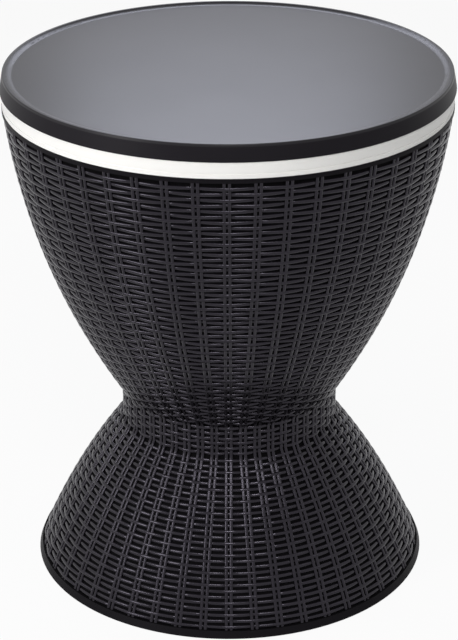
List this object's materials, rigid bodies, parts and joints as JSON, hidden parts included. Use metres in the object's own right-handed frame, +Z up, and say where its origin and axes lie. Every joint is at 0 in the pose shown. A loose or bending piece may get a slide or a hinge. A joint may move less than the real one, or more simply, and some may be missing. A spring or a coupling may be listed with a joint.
{
  "type": "cooler table with lid",
  "caption": "Round hourglass table with a wicker-pattern stand, a hidden ice tub, and a tray-shaped lid that rises on a centre pole.",
  "frame": {"origin": "centre of the foot, on the floor", "axes": "+Z up along the column; the drain is at +Y"},
  "size_m": [0.4949, 0.495, 0.585],
  "materials": {
    "stand_plastic": "satin moulded resin in a wicker pattern",
    "tub_plastic": "smooth white resin",
    "column_plastic": "plain dark resin",
    "tabletop_plastic": "fine-textured dark resin",
    "drain_plastic": "plain dark resin",
    "seal_rubber": "soft matt rubber",
    "fastener_steel": "plain steel"
  },
  "bodies": {
    "stand": {"base_shell": "stand_plastic", "base_weave": "stand_plastic", "waist_screws": "fastener_steel", "bowl_shell": "stand_plastic", "bowl_weave": "stand_plastic", "outer_tube": "column_plastic", "tube_pin": "fastener_steel", "guide_bush": "column_plastic", "cooler_liner": "tub_plastic", "column_sleeve": "tub_plastic", "sleeve_collar": "tub_plastic", "sleeve_gasket": "seal_rubber", "sleeve_nut": "column_plastic", "drain_spout": "drain_plastic", "drain_gasket": "seal_rubber", "drain_nut": "drain_plastic"},
    "lift_slide": {"lock_bush": "column_plastic"},
    "tabletop": {"inner_pole": "column_plastic", "stop_ring": "column_plastic", "lock_cam": "column_plastic", "pole_end_cap": "column_plastic", "tabletop_hub": "column_plastic", "hub_pin": "fastener_steel", "hub_screws": "fastener_steel", "tabletop_underside": "tabletop_plastic", "tabletop_screws": "fastener_steel", "tabletop_skin": "tabletop_plastic"},
    "drain_plug": {"drain_plug": "drain_plastic", "drain_plug_seal": "seal_rubber"}
  },
  "joints": [
    {"name": "tabletop_lift", "type": "slide", "parent": "stand", "child": "lift_slide", "axis": [0, 0, 1], "range_m": [0, 0.255]},
    {"name": "tabletop_twist", "type": "hinge", "parent": "lift_slide", "child": "tabletop", "pos_m": [0, 0, 0.4], "axis": [0, 0, 1], "range_deg": [0, 90]},
    {"name": "drain_plug_pull", "type": "slide", "parent": "stand", "child": "drain_plug", "axis": [0, 0.8468, -0.532], "range_m": [0, 0.03]}
  ]
}
